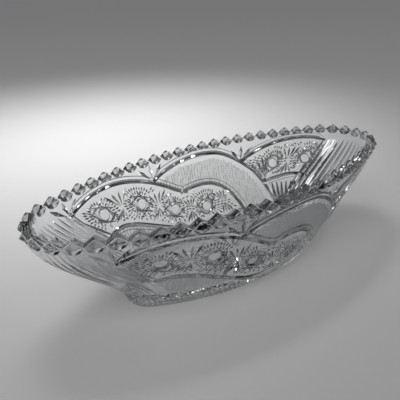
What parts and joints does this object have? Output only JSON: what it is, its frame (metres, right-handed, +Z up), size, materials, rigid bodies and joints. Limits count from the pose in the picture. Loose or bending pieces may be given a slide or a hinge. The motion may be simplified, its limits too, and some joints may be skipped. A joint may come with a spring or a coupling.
{
  "type": "boat-shaped crystal dish",
  "caption": "Boat-shaped pressed crystal dish with a sawtooth rim, wave and star cut sides, rayed ends and a caned foot; holds small items on a table or shelf.",
  "frame": {"origin": "centre of the foot, on the surface the dish rests on", "axes": "+Z up, +X along the boat towards the end that the waves of the pattern run to, +Y across it"},
  "size_m": [0.24, 0.1058, 0.0605],
  "materials": {
    "crystal": "clear colourless pressed crystal, polished inside, mitre cut, caned and frosted outside"
  },
  "bodies": {
    "root": {"dish": "crystal"}
  },
  "joints": []
}
